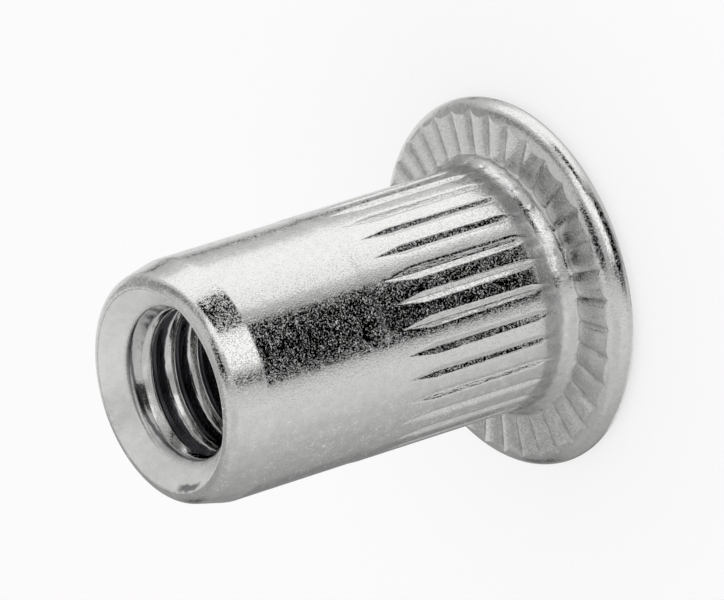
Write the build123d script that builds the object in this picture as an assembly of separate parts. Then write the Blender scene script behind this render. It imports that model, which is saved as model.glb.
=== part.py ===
from build123d import *

import math
import os

# A blind rivet nut, size M6, cold formed from steel in one piece.
# +Z is its axis. Z = 0 is the flat outer face of the head, on which it stands, and the shank
# rises from there to the open end. Lengths are in millimetres and angles in degrees.

# Head
HEAD_DIAMETER = 13.6
HEAD_THICKNESS = 1.2  # outer face to the serrated seat
RIM_WIDTH = 0.6  # how far the rounded rim stands out from the seat and the face
RIM_FALL = 10.0  # how steeply the rim leaves the seat

# Seat serrations: shallow radial notches, edge to edge, that deepen outwards
SERRATION_COUNT = 36
SERRATION_DEPTH = 0.08  # at the seat's outer edge
SERRATION_CREST = 0.06  # width left between two notches at the seat's outer edge
SERRATION_TURN = 5.0  # from +X to the first notch

# Neck: the foot of the shank, where it curls out onto the seat
NECK_SPREAD = 0.37  # from the knurled length out to the neck's foot
NECK_SWELL = 0.12  # from the knurled length out to where the curl aims on the seat
NECK_HEIGHT = 0.85  # from the seat to the knurled length
NECK_CURL = 0.5  # height up to which the curl leans outwards
NECK_FLAT = 0.03  # plain ring between the neck and the serrations

# Shank
SHANK_DIAMETER = 8.9  # plain length, which holds the thread
OVERALL_LENGTH = 16.1
STEP_HEIGHT = 9.3  # where the knurled length ends and the plain length starts
STEP_RISE = 0.025  # how far the knurled length stands proud there
KNURL_TAPER = 0.01  # how much further out the knurled length stands at its lower end

# Knurl: straight V grooves with pointed ends
GROOVE_COUNT = 30
GROOVE_DEPTH = 0.125
GROOVE_ANGLE = 120.0  # between the two walls of the V
GROOVE_TURN = 5.0  # from +X to the first groove
GROOVE_TOP_GAP = 0.8  # from the pointed upper end to the step
GROOVE_TOP_RUNOUT = 1.25  # length over which the floor rises to that end
GROOVE_FOOT_GAP = 0.65  # from the pointed lower end to the seat
GROOVE_FOOT_RUNOUT = 0.8  # length over which the floor rises to that end

# Nose and lip at the open end
NOSE_LENGTH = 1.5
NOSE_ANGLE = 13.0  # half angle of the cone
NOSE_BLEND = 1.0  # rounding where it leaves the plain length
LIP_HEIGHT = 0.44  # rounded part of the nose
LIP_CURL = 0.25  # how far that rounding holds the nose's slope
LIP_ROLL = 0.25  # how far it holds level at the open end

# Bore
THREAD_MINOR_DIAMETER = 5.0  # crests of the M6 internal thread
COUNTERSINK_DIAMETER = 7.36  # at the open end
COUNTERSINK_ANGLE = 45.0  # half angle
THREAD_FOOT_RISE = 0.4  # from the step up to the foot of the threaded wall
SHOULDER_ANGLE = 60.0  # half angle of the cone between the two bores
COLLAPSE_WALL = 0.9  # wall of the knurled length, which folds when the nut is set
MOUTH_CHAMFER = 0.25

# How far a cutter stands clear of the metal outside its cut
CUTTER_MARGIN = 0.4
# How far a groove's floor rises above the surface at its pointed ends
TIP_LIFT = 0.01

head_radius = HEAD_DIAMETER / 2
shank_radius = SHANK_DIAMETER / 2
knurl_radius = shank_radius + STEP_RISE
minor_radius = THREAD_MINOR_DIAMETER / 2
collapse_radius = knurl_radius - COLLAPSE_WALL
seat_height = HEAD_THICKNESS
seat_edge_radius = head_radius - RIM_WIDTH
neck_top_radius = knurl_radius + KNURL_TAPER
neck_edge_radius = neck_top_radius + NECK_SPREAD
neck_foot_radius = neck_edge_radius + NECK_FLAT
# The shank's solid starts inside the head's, so that the notches stop at its foot.
shank_root_height = seat_height / 2


def slope(angle):
    return math.tan(math.radians(angle))


def ring(section):
    """A ring about Z, from its closed section: radius across and height up."""
    return revolve(Plane.XZ * make_face(section), Axis.Z)


def around(feature, count, turn):
    """Copies of a feature, evenly spaced about Z, with the first one turned from +X."""
    return [Rot(Z=turn + 360 / count * i) * feature for i in range(count)]


def head():
    """The head with its bulging rim and the chamfered mouth of the bore."""
    # A curve with both handles a third beyond the rim's width just reaches the head's radius.
    reach = RIM_WIDTH * 4 / 3
    rim = Bezier(
        (seat_edge_radius, 0),
        (seat_edge_radius + reach, 0),
        (seat_edge_radius + reach, seat_height - reach * slope(RIM_FALL)),
        (seat_edge_radius, seat_height),
    )
    inside = Polyline(
        (seat_edge_radius, seat_height),
        (collapse_radius, seat_height),
        (collapse_radius, MOUTH_CHAMFER),
        (collapse_radius + MOUTH_CHAMFER, 0),
        (seat_edge_radius, 0),
    )
    return ring(rim + inside)


def serration_cutter():
    """One notch along +X: its two walls meet the axis in a point, so it widens outwards."""
    reach = head_radius + CUTTER_MARGIN
    scale = reach / seat_edge_radius
    pitch = 2 * math.pi * seat_edge_radius / SERRATION_COUNT
    half_width = (pitch - SERRATION_CREST) / 2 * scale
    drop = SERRATION_DEPTH * scale
    # The walls carry on above the seat, by as much again as they go below it.
    mouth = make_face(
        Polyline(
            (reach, 0, seat_height - drop),
            (reach, 2 * half_width, seat_height + drop),
            (reach, -2 * half_width, seat_height + drop),
            close=True,
        )
    )
    return loft([Vertex(0, 0, seat_height), mouth], ruled=True)


def shank():
    """The shank from neck to lip, with its bore, as one turned section."""
    neck_top = seat_height + NECK_HEIGHT
    neck = Bezier(
        (neck_edge_radius, seat_height),
        (neck_top_radius + NECK_SWELL, seat_height),
        (neck_top_radius, seat_height + NECK_CURL),
        (neck_top_radius, neck_top),
    )
    lip_height = OVERALL_LENGTH - LIP_HEIGHT
    lip_radius = shank_radius - (NOSE_LENGTH - LIP_HEIGHT) * slope(NOSE_ANGLE)
    walls = FilletPolyline(
        (neck_top_radius, neck_top),
        (knurl_radius, STEP_HEIGHT - STEP_RISE / 2),
        (shank_radius, STEP_HEIGHT + STEP_RISE / 2),
        (shank_radius, OVERALL_LENGTH - NOSE_LENGTH),
        (lip_radius, lip_height),
        radius=[0, 0, NOSE_BLEND],
    )
    countersink_radius = COUNTERSINK_DIAMETER / 2
    lip = Bezier(
        (lip_radius, lip_height),
        (lip_radius - LIP_CURL * slope(NOSE_ANGLE), lip_height + LIP_CURL),
        (countersink_radius + LIP_ROLL, OVERALL_LENGTH),
        (countersink_radius, OVERALL_LENGTH),
    )
    countersink_depth = (countersink_radius - minor_radius) / slope(COUNTERSINK_ANGLE)
    thread_foot = STEP_HEIGHT + THREAD_FOOT_RISE
    shoulder_drop = (collapse_radius - minor_radius) / slope(SHOULDER_ANGLE)
    bore = Polyline(
        (countersink_radius, OVERALL_LENGTH),
        (minor_radius, OVERALL_LENGTH - countersink_depth),
        (minor_radius, thread_foot),
        (collapse_radius, thread_foot - shoulder_drop),
        (collapse_radius, shank_root_height),
        (neck_foot_radius, shank_root_height),
        (neck_foot_radius, seat_height),
        (neck_edge_radius, seat_height),
    )
    return ring(neck + walls + lip + bore)


def groove_section(height, floor_radius):
    """The V of a groove at +X, at one height, with its mouth clear of the shank."""
    mouth_radius = neck_edge_radius + CUTTER_MARGIN
    half_width = (mouth_radius - floor_radius) * slope(GROOVE_ANGLE / 2)
    return make_face(
        Polyline(
            (floor_radius, 0, height),
            (mouth_radius, half_width, height),
            (mouth_radius, -half_width, height),
            close=True,
        )
    )


def groove_cutter():
    """One knurl groove at +X, whose floor rises to the surface at both ends."""
    foot = seat_height + GROOVE_FOOT_GAP
    top = STEP_HEIGHT - GROOVE_TOP_GAP
    floor_radius = knurl_radius - GROOVE_DEPTH
    sections = [
        groove_section(foot, neck_top_radius + 2 * TIP_LIFT),
        groove_section(foot + GROOVE_FOOT_RUNOUT, floor_radius),
        groove_section(top - GROOVE_TOP_RUNOUT, floor_radius),
        groove_section(top, knurl_radius + TIP_LIFT),
    ]
    return loft(sections, ruled=True)


def rivet_nut():
    serrated_head = head() - around(serration_cutter(), SERRATION_COUNT, SERRATION_TURN)
    knurled_shank = shank() - around(groove_cutter(), GROOVE_COUNT, GROOVE_TURN)
    return serrated_head + knurled_shank


os.makedirs("parts", exist_ok=True)
export_step(rivet_nut(), "parts/rivet_nut_body.step")
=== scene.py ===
import math

import bpy
import numpy as np
from mathutils import Matrix, Vector


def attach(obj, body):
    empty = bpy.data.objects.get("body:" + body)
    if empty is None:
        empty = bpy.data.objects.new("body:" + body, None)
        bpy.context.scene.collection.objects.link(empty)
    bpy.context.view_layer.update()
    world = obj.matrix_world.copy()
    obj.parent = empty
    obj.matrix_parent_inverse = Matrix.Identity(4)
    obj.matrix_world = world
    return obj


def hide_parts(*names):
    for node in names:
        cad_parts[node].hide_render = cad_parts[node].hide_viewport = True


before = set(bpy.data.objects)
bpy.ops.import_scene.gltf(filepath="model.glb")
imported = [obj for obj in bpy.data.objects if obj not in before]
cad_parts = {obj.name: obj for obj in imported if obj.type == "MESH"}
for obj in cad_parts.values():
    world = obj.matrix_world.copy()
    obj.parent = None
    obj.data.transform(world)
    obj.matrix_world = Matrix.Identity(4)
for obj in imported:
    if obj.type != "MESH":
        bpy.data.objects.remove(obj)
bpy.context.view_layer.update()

# The mesh and the camera are worked out in millimetres, with +Z along the nut's axis and Z = 0 on
# the head's outer face. Materials work in metres. Angles are in degrees from +X.
MM = 0.001
rng = np.random.default_rng(7)

# ---------------------------------------------------------------- sizes, in mm
HEAD_R, SEAT_Z, RIM_WIDTH, RIM_FALL = 6.8, 1.2, 0.6, 10
SEAT_R = HEAD_R - RIM_WIDTH
SEAT_CONE, SEAT_MID_R = 0.02, 5.5  # fall of the seat per mm outwards, and where it is at SEAT_Z
NOTCHES, NOTCH_DEPTH = 36, 0.068
GROOVES, GROOVE_DEPTH, GROOVE_HALF_ANGLE = 30, 0.125, 60
NOTCH_PITCH, GROOVE_PITCH = 360 // NOTCHES, 360 // GROOVES
FIRST_TURN = 5  # from +X to the first notch and to the first groove
# the ends of a groove, the length over which its floor rises there, and how far it passes the surface
GROOVE_TOP, GROOVE_TOP_RUNOUT, TOP_LIFT = 8.5, 1.25, 0.005
GROOVE_FOOT, GROOVE_FOOT_RUNOUT, FOOT_LIFT = 1.85, 0.9, 0.01
NECK_FOOT_R, NECK_TOP_R, NECK_TOP = 4.885, 4.485, 2.12
KNURL_R, SHANK_R = 4.475, 4.45
STEP_Z, STEP_RISE = 9.3, 0.025
NOSE_Z, NOSE_ANGLE = 14.6, 13
NOSE_BLEND_Z, NOSE_BLEND_R = 14.486, 1.0
LIP_Z, LIP_CURL, LIP_ROLL, LENGTH = 15.66, 0.25, 0.25, 16.1
CSINK_R, CSINK_EDGE = 3.68, 0.07  # and the rounding of its edge
THREAD_MINOR_R, PITCH, THREAD_FOOT = 2.5, 1.0, 9.7
LEAD_IN_Z, LEAD_IN_SLOPE = 14.6, 0.4
SHOULDER_ANGLE, BORE_R, MOUTH_CHAMFER = 60, 3.575, 0.25

# Every ring of the outside has N columns, or a half or a quarter of them where it is plain.
N = 720
even = np.arange(N) * 0.5
half = np.arange(N // 2) * 1.0
quarter = np.arange(N // 4) * 2.0


def tan(angle):
    return math.tan(math.radians(angle))


def bezier(points, t):
    """Radius and height along a curve with four points, at each t."""
    t = np.asarray(t, float)[..., None]
    a, b, c, d = (np.array(p, float) for p in points)
    return a * (1 - t) ** 3 + 3 * b * t * (1 - t) ** 2 + 3 * c * t**2 * (1 - t) + d * t**3


class Rings:
    """A closed surface of rings about Z, each joined to the next."""

    def __init__(self):
        self.co, self.faces, self.count, self.last = [], [], 0, None

    def ring(self, angle, r, z):
        angle, r, z = np.broadcast_arrays(np.asarray(angle, float), r, z)
        a = np.radians(angle)
        self.co.append(np.stack([r * np.cos(a), r * np.sin(a), z], 1))
        start, self.count = self.count, self.count + len(a)
        return start, len(a)

    def join(self, lower, upper):
        """Faces between two rings with equal counts, or where one has twice the other's."""
        (a, n), (b, m) = lower, upper
        least = min(n, m)
        for i in range(least):
            j = (i + 1) % least
            if n == m:
                self.faces.append((a + i, a + j, b + j, b + i))
            elif n > m:
                middle = a + 2 * i + 1
                self.faces += [(a + 2 * i, middle, b + i), (middle, b + j, b + i)]
                self.faces.append((middle, a + 2 * j, b + j))
            else:
                middle = b + 2 * i + 1
                self.faces += [(a + i, middle, b + 2 * i), (a + i, a + j, middle)]
                self.faces.append((a + j, b + 2 * j, middle))

    def stack(self, angle, r, z):
        """A ring joined to the last one."""
        ring = self.ring(angle, r, z)
        self.join(self.last, ring)
        self.last = ring
        return ring[0]


def both_sides(rows):
    """Values at the columns, from rows that run from a feature's middle half way to the next."""
    return np.concatenate([rows[:, :0:-1], rows[:, :-1]], 1).ravel()


def spread(offsets, pitch):
    """Column angles that gather round features, from such rows of offsets in degrees."""
    count = 360 // pitch
    rows = np.broadcast_to(offsets, (count, np.shape(offsets)[-1]))
    middle = FIRST_TURN + pitch * np.arange(count)[:, None]
    return np.concatenate([middle - rows[:, :0:-1], middle + rows[:, :-1]], 1).ravel()


# ---------------------------------------------------------------- head and serrated seat
mesh = Rings()
mouth = mesh.ring(half, BORE_R + MOUTH_CHAMFER, 0)
mesh.last = mouth
for r in (3.95, 4.6, 5.4, 6.1):
    mesh.stack(half, r, 0)

reach = RIM_WIDTH * 4 / 3
rim_curve = [(SEAT_R, 0), (SEAT_R + reach, 0), (SEAT_R + reach, SEAT_Z - reach * tan(RIM_FALL)),
             (SEAT_R, SEAT_Z)]
for t in (0.0, 0.06, 0.13, 0.21, 0.3, 0.4):
    r, z = bezier(rim_curve, t)
    mesh.stack(half, r, z)

notch_side = np.array([0, 0.12, 0.5, 1.15, 1.9, 2.7, 3.4, 4.0, 4.45, 4.8, 5.0])
CREST_OFF = 4.85  # degrees from a notch's middle to the flat of its crest
seat_angle = spread(notch_side, NOTCH_PITCH)
seat_off = both_sides(np.tile(notch_side, (NOTCHES, 1)))
notch_depth = NOTCH_DEPTH + 0.012 * rng.standard_normal(NOTCHES)  # each a little different
column_depth = np.repeat(notch_depth, N // NOTCHES)


def seat_height(r):
    """Height of the seat at every column: rounded pads, and narrow valleys that deepen outwards."""
    valley = np.clip((CREST_OFF - seat_off) / CREST_OFF, 0, 1) ** 2.3
    return SEAT_Z - column_depth * (r / SEAT_R) * valley + SEAT_CONE * (SEAT_MID_R - r)


# where each column of the seat runs out on the rim
low, high = np.full(N, 0.55), np.full(N, 1.0)
for _ in range(40):
    mid = (low + high) / 2
    p = bezier(rim_curve, mid)
    above = p[:, 1] > seat_height(p[:, 0])
    high = np.where(above, mid, high)
    low = np.where(above, low, mid)
edge_t = (low + high) / 2
# the rim's upper rings gather their columns on the notches and close in on that edge
for s in (0.46, 0.52, 0.58, 0.64, 0.7, 0.76, 0.82, 0.87, 0.92, 0.96, 0.985):
    gather = min(1.0, (s - 0.4) / 0.45)
    p = bezier(rim_curve, s * ((1 - s) + s * edge_t))
    mesh.stack(even + (seat_angle - even) * gather, p[:, 0], p[:, 1])
p = bezier(rim_curve, edge_t)
edge_r = p[:, 0]
mesh.stack(seat_angle, edge_r, p[:, 1])
for s in (0.02, 0.12, 0.3, 0.5, 0.7, 0.85, 0.94, 1.0):
    r = edge_r + (NECK_FOOT_R - edge_r) * s
    mesh.stack(seat_angle, r, seat_height(r))

# ---------------------------------------------------------------- neck and knurl
# each groove a little different
groove_depth = GROOVE_DEPTH + 0.008 * rng.standard_normal(GROOVES)
top_tip = GROOVE_TOP + 0.05 * rng.standard_normal(GROOVES)
foot_tip = GROOVE_FOOT + 0.04 * rng.standard_normal(GROOVES)
# columns across a groove's wall and then across its land, as shares of each
in_groove = np.array([0, 0.05, 0.3, 0.55, 0.78, 0.94, 1.0])
on_land = np.array([0.16, 0.34, 0.5, 0.67, 0.84, 1.0])
# radius and height up the neck: it curls off the seat as a bead and runs out straight
neck_line = np.array([(NECK_FOOT_R, SEAT_Z), (4.855, 1.203), (4.82, 1.214), (4.775, 1.24), (4.73, 1.285),
                      (4.68, 1.355), (4.633, 1.43), (4.592, 1.51), (4.552, 1.60), (4.522, 1.69),
                      (4.502, 1.78), (4.491, 1.88), (4.487, 2.0), (NECK_TOP_R, NECK_TOP)])
NECK_SPLIT = 1.5  # height up to which the neck's rings follow its line, and above it the grooves


def wall_radius(z):
    """Outside of the shank without its grooves, from the seat up to the step."""
    curl = np.interp(z, neck_line[:, 1], neck_line[:, 0])
    straight = NECK_TOP_R + (KNURL_R - NECK_TOP_R) * (np.asarray(z) - NECK_TOP) / (STEP_Z - NECK_TOP)
    return np.where(np.asarray(z) < NECK_TOP, curl, straight)


foot_wall = wall_radius(foot_tip) + FOOT_LIFT
knurl_even = spread(np.arange(N // GROOVES // 2 + 1) * 360 / N, GROOVE_PITCH)


def groove_ring(z, settle):
    """Angles and radii of a ring through the knurl. settle 1 gathers its columns on the grooves."""
    wall = float(wall_radius(z))
    deepest = KNURL_R - groove_depth
    rise = deepest + (KNURL_R + TOP_LIFT - deepest) * (1 - (top_tip - z) / GROOVE_TOP_RUNOUT)
    fall = foot_wall + (deepest - foot_wall) * (z - foot_tip) / GROOVE_FOOT_RUNOUT
    floor = np.minimum(np.maximum(deepest, np.maximum(rise, fall)), wall - 1e-4)
    # grooves are a little shallower towards the head
    drop = (wall - floor)[:, None] * min(1.0, 0.78 + 0.22 * (z - 2) / 5)
    width = np.maximum(np.degrees(drop * tan(GROOVE_HALF_ANGLE) / wall), 0.02)
    side = np.concatenate([in_groove * width, width + on_land * (GROOVE_PITCH / 2 - width)], 1)
    land = np.full((GROOVES, len(on_land)), wall)
    level = np.concatenate([wall - drop + drop * in_groove**1.2, land], 1)
    level[:, len(in_groove) - 1] -= 0.03 * drop[:, 0]  # rounds the groove's edge
    return spread(side, GROOVE_PITCH) * settle + knurl_even * (1 - settle), both_sides(level)


# the neck's foot follows the notches, which fade out as it rises
for i, (r, z) in enumerate(neck_line[1:]):
    if z < NECK_SPLIT:
        s = min(1.0, (i + 1) / 6)
        sink = (SEAT_Z - seat_height(NECK_FOOT_R)) * (1 - s) ** 1.5
        mesh.stack(seat_angle * (1 - s) + knurl_even * s, r, z - sink)
# the columns gather on the grooves within 0.2 mm and spread evenly again past the grooves' tips
for z in (NECK_SPLIT, 1.6, 1.69, 1.76, 1.82, 1.88, 1.94, 2.0, 2.08, 2.2, 2.35, 2.55, 2.75, 3.0, 3.7, 4.6,
          5.8, 7.0, 7.2, 7.35, 7.6, 7.85, 8.1, 8.25, 8.37, 8.45, 8.5, 8.56):
    settle = min(1.0, max(0.0, (z - NECK_SPLIT) / 0.2), max(0.0, (8.62 - z) / 0.12))
    angle, r = groove_ring(z, settle)
    mesh.stack(angle, r, z)
mesh.stack(knurl_even, KNURL_R, 8.8)

# ---------------------------------------------------------------- step, plain length, nose and lip
# the step is a faint, uneven ridge round the shank
wave = sum(rng.standard_normal() * np.sin(np.radians(k * even + rng.uniform(0, 360))) / math.sqrt(k)
           for k in (1, 2, 3, 5, 7, 11, 16, 23, 37, 53))
step_line = STEP_Z + 0.01 * wave
for d, rise in ((-0.26, 1.0), (-0.17, 0.95), (-0.08, 0.75), (0.0, 0.5), (0.08, 0.25), (0.17, 0.05),
                (0.26, 0.0)):
    mesh.stack(even, SHANK_R + STEP_RISE * rise, step_line + d)
for z in (9.75, 11.5, 13.5, 14.35):
    mesh.stack(even, SHANK_R, z)
for k in range(1, 6):
    b = math.radians(NOSE_ANGLE * k / 6)
    mesh.stack(even, SHANK_R - NOSE_BLEND_R * (1 - math.cos(b)), NOSE_BLEND_Z + NOSE_BLEND_R * math.sin(b))
for z in (14.75, 15.0, 15.4, 15.6):
    mesh.stack(even, SHANK_R - (z - NOSE_Z) * tan(NOSE_ANGLE), z)
lip_r = SHANK_R - (LIP_Z - NOSE_Z) * tan(NOSE_ANGLE)
lip = [(lip_r, LIP_Z), (lip_r - LIP_CURL * tan(NOSE_ANGLE), LIP_Z + LIP_CURL), (CSINK_R + LIP_ROLL, LENGTH),
       (CSINK_R, LENGTH)]
# the lip's curve stops short of the countersink, whose edge is an arc of its own
for r, z in bezier(lip, np.linspace(0, 0.93, 12)):
    mesh.stack(even, r, z)

# ---------------------------------------------------------------- countersink and thread
for b in np.radians([0, 12, 24, 36, 45]):
    csink_r = CSINK_R + 0.03 - CSINK_EDGE * math.sin(b)
    csink_z = LENGTH - CSINK_EDGE * (1 - math.cos(b))
    mesh.stack(even, csink_r, csink_z)
mesh.stack(half, csink_r - 0.05, csink_z - 0.05)
top = mesh.stack(quarter, csink_r - 0.09, csink_z - 0.09)

# Rows follow the helix, so each row ends where the row one turn up begins. One turn's rows give the
# thread's profile: how far up the turn, in pitches, and the radius there.
profile = [(-0.149, 2.5), (-0.10, 2.5), (0.0, 2.555), (0.10, 2.61), (0.149, 2.64), (0.175, 2.68),
           (0.26, 2.80), (0.35, 2.915), (0.43, 2.985), (0.47, 3.0), (0.5, 3.0), (0.53, 3.0), (0.57, 2.99),
           (0.65, 2.86), (0.74, 2.70), (0.825, 2.54)]
TURN = len(profile)
M = len(quarter)
CREST_Z = 13.32  # a crest's height where the azimuth is 0
ROW_TOP, ROW_FOOT, THREAD_END = csink_z - 0.12, 9.12, 9.05
rows = []
for turn in range(2, -7, -1):
    for share, row_r in reversed(profile):
        z0 = CREST_Z + (turn + share) * PITCH
        if ROW_FOOT <= z0 <= ROW_TOP:
            # rows that would pass the countersink's edge lie packed just under it
            z = np.minimum(z0 + quarter / 360 * PITCH, csink_z - 0.1 - 0.002 * len(rows))
            r = np.maximum(row_r, csink_r - (csink_z - z))
            r = np.maximum(r, THREAD_MINOR_R + (z - LEAD_IN_Z) * LEAD_IN_SLOPE)
            r = np.maximum(r, THREAD_MINOR_R + (THREAD_FOOT - z) * tan(SHOULDER_ANGLE))
            r = np.minimum(r, np.where(z < THREAD_FOOT, BORE_R, CSINK_R))
            rows.append(mesh.ring(quarter, r, z)[0])
bottom = mesh.ring(quarter, BORE_R, THREAD_END)[0]
for a, b in zip([top] + rows, rows + [bottom]):
    mesh.faces += [(a + c, a + c + 1, b + c + 1, b + c) for c in range(M - 1)]
for j in range(TURN, len(rows) - 1):
    mesh.faces.append((rows[j] + M - 1, rows[j - TURN], rows[j + 1 - TURN], rows[j + 1] + M - 1))
# the two ends of the helix close with fans
for j in range(TURN):
    mesh.faces.append((rows[j] + M - 1, rows[0], rows[j + 1] + M - 1))
mesh.faces.append((top + M - 1, top, rows[0], rows[0] + M - 1))
end = len(rows) - 1
for j in range(end - TURN, end):
    mesh.faces.append((rows[end] + M - 1, rows[j], rows[j + 1]))
mesh.faces.append((rows[end] + M - 1, rows[end], bottom, bottom + M - 1))
mesh.last = (bottom, M)
for z in (6.0, 3.0, MOUTH_CHAMFER):
    mesh.stack(quarter, BORE_R, z)
mesh.join(mesh.last, mouth)

data = bpy.data.meshes.new("rivet_nut")
data.from_pydata((np.concatenate(mesh.co) * MM).tolist(), [], mesh.faces)
data.validate()
data.polygons.foreach_set("use_smooth", [True] * len(data.polygons))
data.update()
nut = bpy.data.objects.new("rivet_nut", data)
bpy.context.scene.collection.objects.link(nut)
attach(nut, "root")
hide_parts("rivet_nut_body")


# ---------------------------------------------------------------- node helpers
class Nodes:
    """Short names for the nodes of one tree. Values are numbers or sockets."""

    def __init__(self, tree):
        self.tree = tree

    def add(self, kind, inputs=(), **props):
        node = self.tree.nodes.new(kind)
        for name, value in props.items():
            setattr(node, name, value)
        for key, value in dict(inputs).items():
            if isinstance(value, bpy.types.NodeSocket):
                self.tree.links.new(value, node.inputs[key])
            else:
                node.inputs[key].default_value = value
        return node

    def math(self, op, a, b=0.0):
        return self.add("ShaderNodeMath", {0: a, 1: b}, operation=op).outputs[0]

    def product(self, first, *others):
        for value in others:
            first = self.math("MULTIPLY", first, value)
        return first

    def most(self, first, *others):
        for value in others:
            first = self.math("MAXIMUM", first, value)
        return first

    def plus(self, a, b):
        return self.math("ADD", a, b)

    def less(self, value, share):
        """1 less a share of the value."""
        return self.math("SUBTRACT", 1.0, self.product(value, share))

    def away(self, value, middle):
        """How far the value is from the middle, either way."""
        return self.math("ABSOLUTE", self.math("SUBTRACT", value, middle))

    def shaken(self, value, noise, width):
        """The value, made uneven by a noise over this width."""
        return self.plus(value, self.product(self.math("SUBTRACT", noise, 0.5), width))

    def step(self, value, a, b, start=0.0, end=1.0):
        """Smooth change from start to end as the value goes from a to b."""
        inputs = {"Value": value, "From Min": a, "From Max": b, "To Min": start, "To Max": end}
        return self.add("ShaderNodeMapRange", inputs, interpolation_type="SMOOTHSTEP").outputs[0]

    def noise(self, vector, scale, detail, roughness, distortion=0.0):
        inputs = {"Vector": vector, "Scale": scale, "Detail": detail, "Roughness": roughness,
                  "Distortion": distortion}
        return self.add("ShaderNodeTexNoise", inputs).outputs["Fac"]

    def bump(self, height, distance, normal=None):
        inputs = {"Strength": 1.0, "Distance": distance, "Height": height}
        if normal:
            inputs["Normal"] = normal
        return self.add("ShaderNodeBump", inputs).outputs[0]

    def mix(self, factor, a, b):
        return self.add("ShaderNodeMix", {0: factor, 2: a, 3: b}, data_type="FLOAT").outputs[0]

    def mix_colour(self, factor, a, b):
        return self.add("ShaderNodeMix", {0: factor, 6: a, 7: b}, data_type="RGBA").outputs[2]


# ---------------------------------------------------------------- zinc-plated steel
steel = bpy.data.materials.new("zinc_plated_steel")
steel.use_nodes = True
steel.node_tree.nodes.clear()
n = Nodes(steel.node_tree)
place = n.add("ShaderNodeTexCoord").outputs["Object"]
x, y, height = n.add("ShaderNodeSeparateXYZ", {0: place}).outputs
radius = n.math("SQRT", n.plus(n.math("POWER", x, 2.0), n.math("POWER", y, 2.0)))
turn = n.math("DEGREES", n.math("ARCTAN2", y, x))
mottle = n.noise(place, 1100.0, 3.0, 0.55)
patch = n.noise(place, 3000.0, 2.0, 0.5)
grain = n.noise(place, 12500.0, 2.0, 0.6, 0.8)
spark = n.noise(place, 15000.0, 2.0, 0.5)

# places, 0 to 1: the thread, the countersink, the grooves, the neck's curl and the scuffed pads
inside = n.product(n.step(radius, 0.0033, 0.0030), n.step(height, 0.0155, 0.0152))
sink = n.product(n.step(radius, 0.00372, 0.00364), n.step(height, 0.0151, 0.0154))
knurl = n.product(n.step(radius, 0.004475, 0.00445), n.step(height, 0.0087, 0.0084),
                  n.step(height, 0.0018, 0.0020))
bead = n.product(n.step(height, 0.0020, 0.0017), n.step(radius, 0.0044, 0.00445),
                 n.step(radius, 0.0052, 0.0049, 0.3, 1.0))
pads = n.product(n.step(height, 0.00126, 0.00123), n.step(height, 0.00100, 0.00108),
                 n.step(n.away(turn, 9.0), 20.0, 10.0))

# Relief: grain and small crystals all over but weak in the thread, drag marks along the grooves,
# torn metal on the neck's curl and the pads, and a broad mottle.
speck = n.product(n.step(grain, 0.42, 0.72), n.step(patch, 0.3, 0.7, 0.45, 1.25))
flash = n.step(spark, 0.56, 0.68)
relief = n.plus(n.product(speck, n.plus(0.36, n.product(knurl, 0.15))),
                n.product(flash, n.plus(0.45, n.product(knurl, 0.5))))
relief = n.product(relief, n.less(inside, 0.7))
along = n.add("ShaderNodeVectorMath", {0: place, 1: (1, 1, 0.25)}, operation="MULTIPLY").outputs[0]
drag = n.product(n.noise(along, 8000.0, 2.0, 0.6), knurl)
torn = n.product(patch, n.most(bead, n.product(pads, 1.2)), 0.55)
normal = n.bump(relief, 7.0e-6)
normal = n.bump(n.plus(drag, torn), 1.8e-5, normal)
normal = n.bump(mottle, 3.5e-6, normal)

# Painted shade: dark lines in the seat's valleys, along a length of the step and at the countersink's
# inner edge, a darker foot of the knurl in the corner by the seat, and dark flanks deep in the thread. Also
# a ragged dark band on the countersink.
to_valley = n.away(n.math("FRACT", n.math("DIVIDE", n.plus(turn, 360.0), 10.0)), 0.5)
seat = n.product(n.step(height, 0.00126, 0.00123), n.step(height, 0.00108, 0.00112),
                 n.step(radius, 0.0049, 0.0050), n.step(radius, 0.0063, 0.0061))
# painted shade: dark lines down the seat's valleys
painted_valley_shade = n.product(seat, n.step(n.shaken(to_valley, patch, 0.2), 0.10, 0.02))
ragged = n.shaken(height, patch, 0.00006)
# painted shade: a dark line along a length of the step, on one side only
painted_step_shade = n.product(n.step(n.away(ragged, 0.0093), 0.00007, 0.00003), n.step(n.away(turn, 6.0), 14.0, 5.0))
# painted shade: the foot of the knurl is darker in the corner by the seat
uneven = n.shaken(height, mottle, 0.0005)
painted_neck_shade = n.product(n.step(uneven, 0.00250, 0.00225), n.step(uneven, 0.00156, 0.00174),
                 n.step(radius, 0.0043, 0.0044), n.step(patch, 0.3, 0.7, 0.26, 0.48))
# painted shade: a ragged dark line at the countersink's inner edge
painted_edge_shade = n.product(n.step(n.away(ragged, 0.01517), 0.00006, 0.00002), n.step(radius, 0.0031, 0.0030))
# a ragged dark band on the countersink, near azimuth -94
countersink_dark_band = n.product(n.step(n.away(n.shaken(radius, patch, 0.0002), 0.00355), 0.00014, 0.00006),
                  n.step(n.away(turn, -94.0), 14.0, 7.0), n.step(height, 0.0157, 0.0158))
painted_shade_and_marks = n.most(n.product(painted_valley_shade, 0.3), n.product(painted_step_shade, 0.6), painted_neck_shade,
              n.product(n.most(painted_edge_shade, countersink_dark_band), 0.85))
# painted shade: the thread's flanks are dark, more so deeper in the bore
painted_thread_shade = n.product(inside, n.step(n.shaken(height, patch, 0.0006), 0.0150, 0.0147, 0.25, 1.0),
                n.step(n.shaken(radius, patch, 0.00012), 0.00264, 0.00270))

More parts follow.
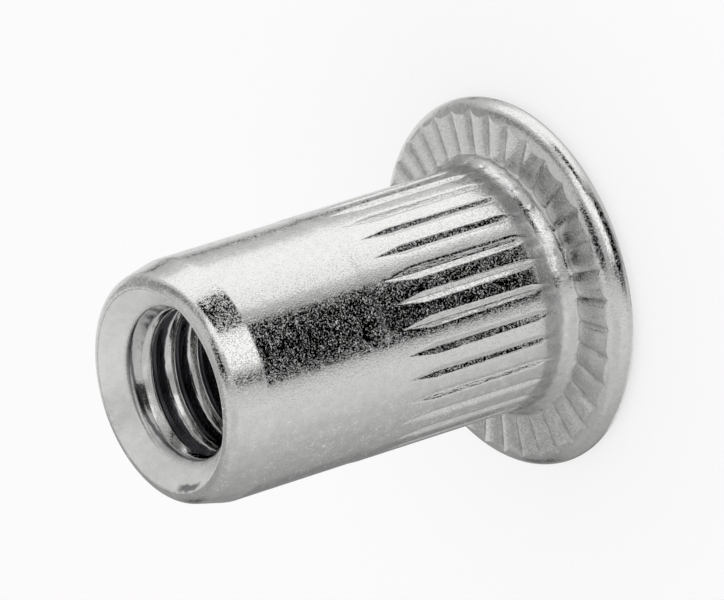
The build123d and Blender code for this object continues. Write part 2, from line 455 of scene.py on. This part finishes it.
zinc = n.add("ShaderNodeValToRGB", {"Fac": n.product(n.plus(patch, grain), 0.5)})
low_stop, high_stop = zinc.color_ramp.elements
low_stop.position, high_stop.position = 0.35, 0.65
low_stop.color, high_stop.color = (0.79, 0.79, 0.775, 1), (0.90, 0.90, 0.89, 1)
# the painted shade and the countersink's dark band darken the zinc here, then the thread's painted shade
colour = n.mix_colour(painted_shade_and_marks, zinc.outputs["Color"], (0.12, 0.12, 0.13, 1))
colour = n.mix_colour(painted_thread_shade, colour, (0.07, 0.07, 0.08, 1))
rough = n.plus(n.step(speck, 0.2, 1.0, 0.08, 0.22), n.product(sink, 0.22))
rough = n.product(rough, n.less(inside, 0.3))
# the countersink and the small crystals are matt, so they stay pale where the metal mirrors black
matt = n.product(flash, n.step(patch, 0.42, 0.7, 0.05, 0.55), n.step(height, 0.0014, 0.0022))
matt = n.product(matt, n.math("SUBTRACT", 1.0, n.most(inside, sink, painted_shade_and_marks)))
metallic = n.math("SUBTRACT", n.less(sink, 0.58), matt)
surface = n.add("ShaderNodeBsdfPrincipled", {"Base Color": colour, "Metallic": metallic, "Roughness": rough,
                                             "Normal": normal})
n.add("ShaderNodeOutputMaterial", {"Surface": surface.outputs[0]})
data.materials.append(steel)

# ---------------------------------------------------------------- floor
# a sheet just under the head's face
bpy.ops.mesh.primitive_plane_add(size=1.2, location=(0, 0, -0.00001))
floor = bpy.context.object
floor.name = "floor"
paper = bpy.data.materials.new("floor")
paper.use_nodes = True
shader = paper.node_tree.nodes["Principled BSDF"]
shader.inputs["Base Color"].default_value = (0.97, 0.97, 0.97, 1)
shader.inputs["Roughness"].default_value = 0.9
shader.inputs["Specular IOR Level"].default_value = 0.0
# The camera sees the floor nearly white, with a part of its own shade, so that the shadow stays.
# Inside the bore it sees the shade alone.
n = Nodes(paper.node_tree)
from_axis = n.add("ShaderNodeVectorMath", {0: n.add("ShaderNodeTexCoord").outputs["Object"]},
                  operation="LENGTH").outputs["Value"]
seen = n.product(n.add("ShaderNodeLightPath").outputs["Is Camera Ray"], 0.65,
                 n.step(from_axis, 0.0034, 0.0037))
white = n.add("ShaderNodeEmission", {"Color": (1, 1, 1, 1), "Strength": 1.0})
shade = n.add("ShaderNodeMixShader", {0: seen, 1: shader.outputs[0], 2: white.outputs[0]})
paper.node_tree.links.new(shade.outputs[0], paper.node_tree.nodes["Material Output"].inputs[0])
floor.data.materials.append(paper)
floor.visible_glossy = False

# ---------------------------------------------------------------- studio light
# Matt surfaces see an even white light. Metal sees grey walls, white cards and dark flags, placed by
# azimuth from +X and by elevation, in degrees.
world = bpy.context.scene.world or bpy.data.worlds.new("studio")
bpy.context.scene.world = world
world.use_nodes = True
world.node_tree.nodes.clear()
n = Nodes(world.node_tree)
look = n.add("ShaderNodeSeparateXYZ", {0: n.add("ShaderNodeTexCoord").outputs["Generated"]}).outputs
azimuth = n.math("DEGREES", n.math("ARCTAN2", look[1], look[0]))
elevation = n.math("DEGREES", n.math("ARCSINE", look[2]))

# azimuth and tone of the walls all round
wall_tones = [(-180, 0.45), (-155, 0.32), (-130, 0.36), (-108, 0.41), (-85, 0.51), (-60, 0.65), (-40, 0.72),
              (-26, 0.62), (-10, 0.45), (20, 0.42), (50, 0.5), (90, 0.55), (115, 0.6), (138, 0.48),
              (160, 0.48), (180, 0.45)]
walls = n.add("ShaderNodeValToRGB", {"Fac": n.math("DIVIDE", n.plus(azimuth, 180.0), 360.0)})
ramp = walls.color_ramp
ramp.interpolation = "EASE"
for _ in wall_tones[2:]:
    ramp.elements.new(0.5)
for stop, (a, tone) in zip(ramp.elements, wall_tones):
    stop.position = (a + 180) / 360
    stop.color = (tone, tone, tone, 1)

# Azimuth from and to, elevation from and to, softness of the edges, tone. Later ones lie in front. One
# that reaches past 180 either way has no edge there.
cards = [
    # ceiling
    (-181, -140, 40, 90, 10, 0.38),
    (-140, -40, 50, 90, 10, 0.66),
    (-140, -98, 15, 55, 12, 0.42),
    (-104, -40, 15, 55, 12, 0.57),
    (40, 150, 22, 90, 8, 0.58),
    (45, 150, 22, 43, 6, 0.24),
    (-22, 45, 60, 90, 6, 0.05),
    (-20, -2, 22, 60, 5, 0.4),
    (-10, 38, 43, 62, 4, 0.0),
    # table
    (-120, -35, -90, -42, 8, 0.62),
    (-35, 42, -90, -42, 10, 0.22),
    (42, 181, -90, -60, 8, 0.62),
    (-181, -122, -68, -40, 6, 0.85),
    (58, 138, -62, -38, 8, 0.92),
    # white cards that light the shank's upper side and the nose
    (48, 70, -46, -22, 5, 1.0),
    (68, 113, -46, 9, 6, 1.04),
    (50, 68, -22, -11, 4, 0.15),
    (-3, 50, -16, 12, 4, 1.12),
    (16, 50, 8, 30, 5, 1.0),
    # dark flags that give the two patches on the nose and the dark band along the shank
    (32, 69, -17, -2, 2, 0.0),
    (-19, -4, -22, 30, 3, 0.38),
    (-17, -9, -15, 4, 2, 0.05),
    (-25, 35, -60, -22, 1.5, 0.0),
    # behind the nut: what the seat, the rim and the shank's edges mirror
    (128, 150, 0, 35, 6, 0.33),
    (145, 168, 8, 42, 6, 0.35),
    (166, 181, 6, 56, 4, 0.7),
    (-181, -163, 6, 58, 3, 0.33),
    (160, 181, 48, 60, 5, 0.45),
    (150, 181, -40, 8, 4, 0.78),
    (-181, -161, -40, 8, 4, 0.34),
    (-160, -141, -28, 20, 4, 0.28),
    (-157, -145, -15, 6, 3, 0.08),
    (-168, -140, -40, -29, 3, 0.22),
    (138, 143.5, -44, -20, 1.5, 0.0),
]
tone = walls.outputs["Color"]
for az_from, az_to, el_from, el_to, soft, strength in cards:
    edge = soft / 2
    sides = [n.step(elevation, el_from - edge, el_from + edge),
             n.step(elevation, el_to + edge, el_to - edge)]
    if az_from > -180:
        sides.append(n.step(azimuth, az_from - edge, az_from + edge))
    if az_to < 180:
        sides.append(n.step(azimuth, az_to + edge, az_to - edge))
    tone = n.mix(n.product(*sides), tone, strength)
tone = n.mix(n.add("ShaderNodeLightPath").outputs["Is Diffuse Ray"], tone, 1.0)
sky = n.add("ShaderNodeBackground", {"Color": (1, 1, 1, 1), "Strength": tone})
n.add("ShaderNodeOutputWorld", {"Surface": sky.outputs[0]})

# ---------------------------------------------------------------- camera
# Place, roll and lens come from the outlines of the head, the shank and the open end in the photo.
target = Vector((0, 0.9208, 6.8408)) * MM
distance = 334.226
pitch, roll = math.radians(33.772), math.radians(107.458)
back = Vector((math.cos(pitch), 0, math.sin(pitch)))
up = Vector((-math.sin(pitch), 0, math.cos(pitch)))
right = up.cross(back)
cam_up = up * math.cos(roll) + right * math.sin(roll)
cam_right = cam_up.cross(back)
camera = bpy.data.objects.new("camera", bpy.data.cameras.new("camera"))
bpy.context.scene.collection.objects.link(camera)
turned = Matrix((cam_right, cam_up, back)).transposed().to_4x4()
camera.matrix_world = Matrix.Translation(target + back * distance * MM) @ turned
camera.data.lens = 468.166
camera.data.sensor_width = 36
camera.data.clip_start, camera.data.clip_end = 0.01, 10
bpy.context.scene.camera = camera
bpy.context.scene.view_settings.view_transform = "Standard"
